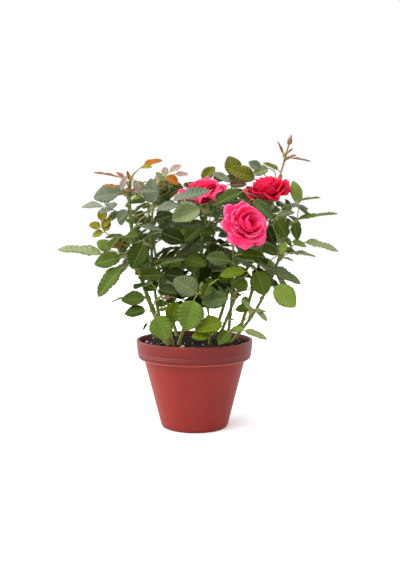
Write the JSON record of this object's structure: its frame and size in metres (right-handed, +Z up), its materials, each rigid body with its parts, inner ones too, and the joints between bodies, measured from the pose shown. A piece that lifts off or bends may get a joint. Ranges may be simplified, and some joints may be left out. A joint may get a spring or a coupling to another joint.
{
  "type": "potted rose bush",
  "caption": "Small bush rose in a round plastic pot: leafy canes from dark soil, red double blooms, a slim bud shoot and bronze young leaves.",
  "frame": {"origin": "centre of the pot's flat underside", "axes": "+Z up along the pot's axis, -Y towards the plant's front, where the largest bloom faces, +X to the right seen from the front"},
  "size_m": [0.3054, 0.2032, 0.3266],
  "materials": {
    "pot_plastic": "satin terracotta-red moulded plastic",
    "peat": "dark crumbly peat with white specks of perlite",
    "bark": "smooth green to tan rose cane with a few prickles",
    "leaf": "semi-gloss dark green leaf",
    "petal": "soft velvety rose petal"
  },
  "bodies": {
    "root": {"pot": "pot_plastic", "soil": "peat", "cane_left": "bark", "cane_left_inner": "bark", "cane_bloom_left": "bark", "cane_bloom_front": "bark", "cane_bloom_right": "bark", "cane_bud": "bark", "cane_right": "bark", "cane_low_front": "bark", "cane_low_right": "bark", "cane_low_left": "bark", "cane_back_left": "bark", "cane_back_mid": "bark", "cane_back_right": "bark", "cane_middle": "bark", "foliage_left": "leaf", "foliage_left_inner": "leaf", "foliage_bloom_left": "leaf", "foliage_bloom_front": "leaf", "foliage_bloom_right": "leaf", "foliage_bud": "leaf", "foliage_right": "leaf", "foliage_low_front": "leaf", "foliage_low_right": "leaf", "foliage_low_left": "leaf", "foliage_back_left": "leaf", "foliage_back_mid": "leaf", "foliage_back_right": "leaf", "foliage_middle": "leaf", "rose_front": "petal", "rose_right": "petal", "rose_left": "petal"}
  },
  "joints": []
}
